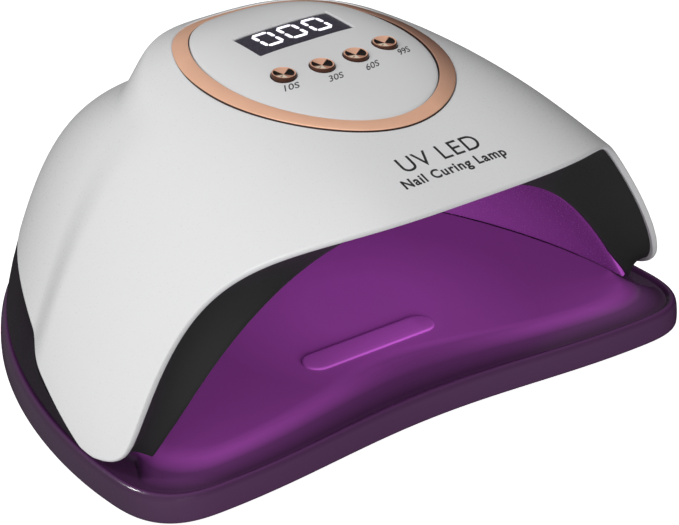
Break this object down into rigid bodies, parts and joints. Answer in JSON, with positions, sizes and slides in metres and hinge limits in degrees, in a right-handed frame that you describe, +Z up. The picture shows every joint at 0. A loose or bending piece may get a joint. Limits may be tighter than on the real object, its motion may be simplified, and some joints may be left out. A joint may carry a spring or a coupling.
{
  "type": "nail curing lamp",
  "caption": "Open-fronted dome lamp for curing nail gel: white shell, purple tray and reflector, lift-off base, console with display and timer buttons.",
  "frame": {"origin": "under the middle of the lamp, level with the soles of the rubber feet", "axes": "+X across the lamp to the user's right, +Y from the hand opening towards the tail, +Z up; the hand opening faces -Y"},
  "size_m": [0.2246, 0.2034, 0.1121],
  "materials": {
    "purple_gloss": "polished purple tray",
    "black_rubber": "matt",
    "magnet_nickel": "nickel plated",
    "white_gloss": "polished white",
    "dark_gloss": "polished near-black purple",
    "black_satin": "satin black",
    "purple_liner": "polished purple liner",
    "rose_gold": "plated rose gold, satin",
    "rose_gold_button": "plated rose gold, spun",
    "panel_white": "satin white",
    "smoked_window": "smoked, glossy",
    "lit_digits": "lit white",
    "board_green": "solder mask",
    "brass_spacer": "turned",
    "screw_steel": "zinc plated",
    "led_resin": "clear yellow resin",
    "board_aluminium": "white coated",
    "component_grey": "mixed cases",
    "wire_red": "insulated lead"
  },
  "bodies": {
    "base": {"base_tray": "purple_gloss", "rubber_feet": "black_rubber", "tray_magnets": "magnet_nickel"},
    "housing": {"top_shell": "white_gloss", "lower_frame": "dark_gloss", "front_bezel": "black_satin", "reflector": "purple_liner", "trim_ring": "rose_gold", "control_panel": "panel_white", "display_window": "smoked_window", "display_digits": "lit_digits", "display_module": "black_satin", "control_board": "board_green", "tact_switches": "black_satin", "board_standoffs": "brass_spacer", "board_screws": "screw_steel", "led_beads": "led_resin", "led_boards": "board_aluminium", "ir_sensor": "black_satin", "driver_board": "board_green", "driver_components": "component_grey", "dc_socket": "black_satin", "shell_screws": "screw_steel", "strike_plates": "screw_steel", "wire_harness": "wire_red"},
    "button_10s": {"button_cap_10s": "rose_gold_button", "button_stem_10s": "black_satin"},
    "button_30s": {"button_cap_30s": "rose_gold_button", "button_stem_30s": "black_satin"},
    "button_60s": {"button_cap_60s": "rose_gold_button", "button_stem_60s": "black_satin"},
    "button_99s": {"button_cap_99s": "rose_gold_button", "button_stem_99s": "black_satin"}
  },
  "joints": [
    {"name": "housing_lift", "type": "slide", "parent": "base", "child": "housing", "axis": [0, 0, 1], "range_m": [0, 0.06]},
    {"name": "press_10s", "type": "slide", "parent": "housing", "child": "button_10s", "axis": [0, 0.0698, -0.9976], "range_m": [0, 0.0007]},
    {"name": "press_30s", "type": "slide", "parent": "housing", "child": "button_30s", "axis": [0, 0.0698, -0.9976], "range_m": [0, 0.0007]},
    {"name": "press_60s", "type": "slide", "parent": "housing", "child": "button_60s", "axis": [0, 0.0698, -0.9976], "range_m": [0, 0.0007]},
    {"name": "press_99s", "type": "slide", "parent": "housing", "child": "button_99s", "axis": [0, 0.0698, -0.9976], "range_m": [0, 0.0007]}
  ]
}
